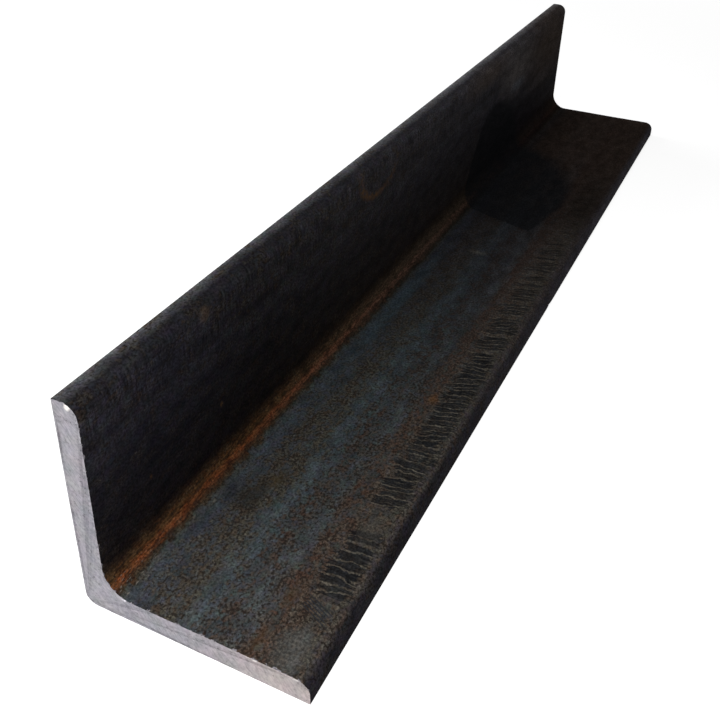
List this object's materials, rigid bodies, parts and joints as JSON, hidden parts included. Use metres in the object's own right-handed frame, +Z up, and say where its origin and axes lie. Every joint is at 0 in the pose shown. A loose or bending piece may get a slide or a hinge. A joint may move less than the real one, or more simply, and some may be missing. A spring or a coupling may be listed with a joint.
{
  "type": "steel angle section",
  "caption": "Short length of hot-rolled steel equal-leg angle with square sawn ends, rounded root and toes, dark mill scale and patchy rust.",
  "frame": {"origin": "centre of the bounding box on the resting face, so midway across the base leg and midway along the bar, on the floor", "axes": "+Y along the bar; +Z up, along the upright leg; +X across the base leg towards its toe, with the upright leg on the -X side"},
  "size_m": [0.075, 0.47, 0.075],
  "materials": {
    "rolled_steel": "blue-black mill scale with brown rust, bright sawn ends"
  },
  "bodies": {
    "root": {"angle_section": "rolled_steel"}
  },
  "joints": []
}
